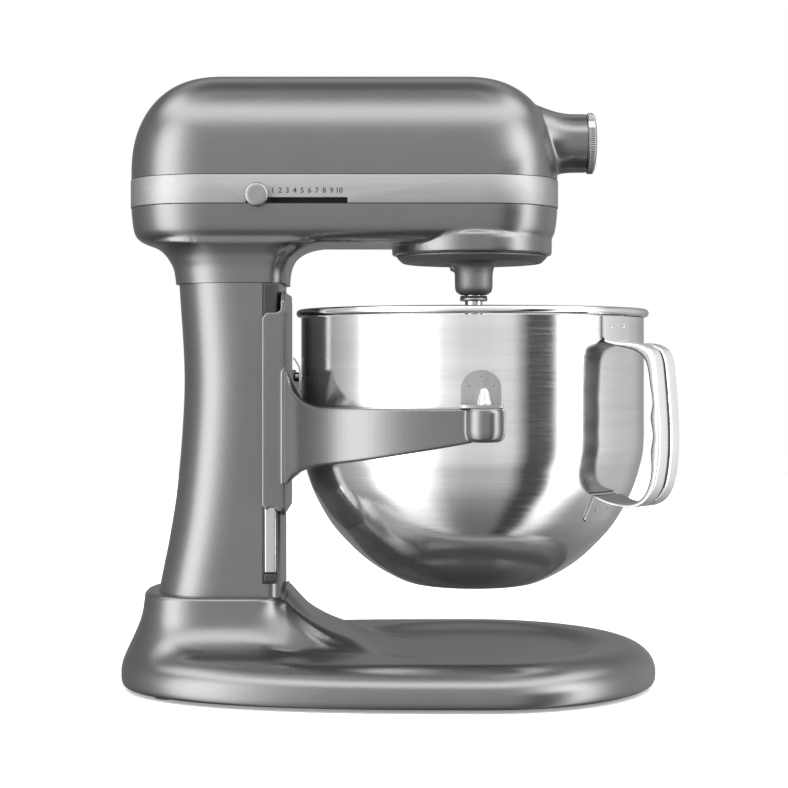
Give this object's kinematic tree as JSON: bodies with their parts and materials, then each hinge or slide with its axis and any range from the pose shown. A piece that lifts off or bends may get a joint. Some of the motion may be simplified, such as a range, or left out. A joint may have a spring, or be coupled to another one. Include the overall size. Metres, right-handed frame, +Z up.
{
  "type": "stand mixer",
  "caption": "Bowl-lift stand mixer: a metal stand and head with a gear-driven planetary, a lifting yoke, a steel bowl with a handle, a speed lever and an attachment hub.",
  "frame": {"origin": "on the surface the feet rest on, under the middle of the machine's outer box", "axes": "+X forwards from the column to the attachment hub, +Z up, +Y towards the side with the lift lever"},
  "size_m": [0.3686, 0.28, 0.418],
  "materials": {
    "body_paint": "medium grey metallic paint, satin gloss",
    "brushed_band": "brushed along the head",
    "bowl_steel": "brushed round the bowl, polished rim",
    "bright_steel": "polished steel",
    "planetary_grey": "satin grey paint",
    "satin_aluminium": "satin, machined",
    "gear_steel": "hardened steel with a film of grease",
    "motor_steel": "dull plated steel",
    "winding": "lacquered copper on a laminated core",
    "black_plastic": "moulded, matte",
    "board_green": "lacquered circuit board",
    "foot_rubber": "moulded rubber"
  },
  "bodies": {
    "stand": {"base": "body_paint", "foot_front_far": "foot_rubber", "foot_front_near": "foot_rubber", "foot_back_far": "foot_rubber", "foot_back_near": "foot_rubber", "column": "body_paint", "lower_housing": "body_paint", "upper_housing": "body_paint", "trim_band": "brushed_band", "guide_rail_near": "bright_steel", "guide_rail_far": "bright_steel", "rail_cap_near": "black_plastic", "rail_cap_far": "black_plastic", "lift_stop_near": "black_plastic", "lift_stop_far": "black_plastic", "cord_gland": "black_plastic", "ring_gear": "gear_steel", "bearing_plate": "motor_steel", "layshaft_support": "motor_steel", "motor_support": "motor_steel", "motor_can": "motor_steel", "motor_back_cap": "motor_steel", "control_board": "board_green", "hub_bearing": "bright_steel"},
    "motor_rotor": {"motor_shaft": "gear_steel", "armature": "winding", "cooling_fan": "black_plastic", "motor_pinion": "gear_steel"},
    "layshaft_set": {"layshaft": "gear_steel", "lay_gear": "gear_steel", "layshaft_bevel": "gear_steel"},
    "planetary": {"main_shaft": "gear_steel", "main_bevel_gear": "gear_steel", "planetary_carrier": "planetary_grey"},
    "beater_drive": {"beater_shaft": "bright_steel", "planet_pinion": "gear_steel", "beater_pin": "bright_steel", "beater_washer": "bright_steel"},
    "hub_drive": {"hub_bevel": "gear_steel", "hub_socket": "gear_steel"},
    "speed_control": {"speed_knob": "satin_aluminium", "speed_lever": "black_plastic"},
    "hub_cover": {"hub_cap": "satin_aluminium"},
    "hub_clamp": {"hub_screw": "black_plastic"},
    "yoke": {"bowl_yoke": "body_paint", "yoke_pin_near": "bright_steel", "yoke_pin_far": "bright_steel", "lift_bracket": "motor_steel"},
    "lift_handle": {"lift_shaft": "gear_steel", "lift_lever": "satin_aluminium", "lever_grip": "black_plastic"},
    "mixing_bowl": {"bowl": "bowl_steel", "side_bracket_near": "bowl_steel", "side_bracket_far": "bowl_steel", "handle_plate_top": "bright_steel", "handle_plate_bottom": "bright_steel", "bowl_handle": "bright_steel", "back_clip": "bright_steel"}
  },
  "joints": [
    {"name": "planetary_spin", "type": "hinge", "parent": "stand", "child": "planetary", "pos_m": [0.05609, 0, 0.292], "axis": [0, 0, 1], "continuous": true},
    {"name": "beater_spin", "type": "hinge", "parent": "planetary", "child": "beater_drive", "pos_m": [0.05609, -0.027, 0.26], "axis": [0, 0, 1], "continuous": true},
    {"name": "layshaft_spin", "type": "hinge", "parent": "stand", "child": "layshaft_set", "pos_m": [0.00259, 0, 0.3733], "axis": [1, 0, 0], "continuous": true},
    {"name": "motor_spin", "type": "hinge", "parent": "stand", "child": "motor_rotor", "pos_m": [0.00259, 0, 0.3433], "axis": [1, 0, 0], "continuous": true},
    {"name": "hub_drive_spin", "type": "hinge", "parent": "stand", "child": "hub_drive", "pos_m": [0.10259, 0, 0.3733], "axis": [1, 0, 0], "continuous": true},
    {"name": "speed_slide", "type": "slide", "parent": "stand", "child": "speed_control", "axis": [1, 0, 0], "range_m": [0, 0.052]},
    {"name": "hub_cover_pull", "type": "slide", "parent": "stand", "child": "hub_cover", "axis": [1, 0, 0], "range_m": [0, 0.012]},
    {"name": "hub_screw_turn", "type": "hinge", "parent": "stand", "child": "hub_clamp", "pos_m": [0.12759, 0, 0.3733], "axis": [0, 1, 0], "continuous": true},
    {"name": "bowl_lift", "type": "slide", "parent": "stand", "child": "yoke", "axis": [0, 0, 1], "range_m": [-0.04, 0]},
    {"name": "lift_lever_turn", "type": "hinge", "parent": "stand", "child": "lift_handle", "pos_m": [-0.11141, 0.05, 0.158], "axis": [0, 1, 0], "range_deg": [-100, 0]},
    {"name": "bowl_lift_off", "type": "slide", "parent": "yoke", "child": "mixing_bowl", "axis": [0, 0, 1], "range_m": [0, 0.016]}
  ],
  "couplings": [
    {"joint": "beater_spin", "follows": "planetary_spin", "ratio": -3},
    {"joint": "layshaft_spin", "follows": "planetary_spin", "ratio": -3},
    {"joint": "motor_spin", "follows": "planetary_spin", "ratio": 9},
    {"joint": "hub_drive_spin", "follows": "planetary_spin", "ratio": 3},
    {"joint": "lift_lever_turn", "follows": "bowl_lift", "rad_per_m": 43.633}
  ]
}
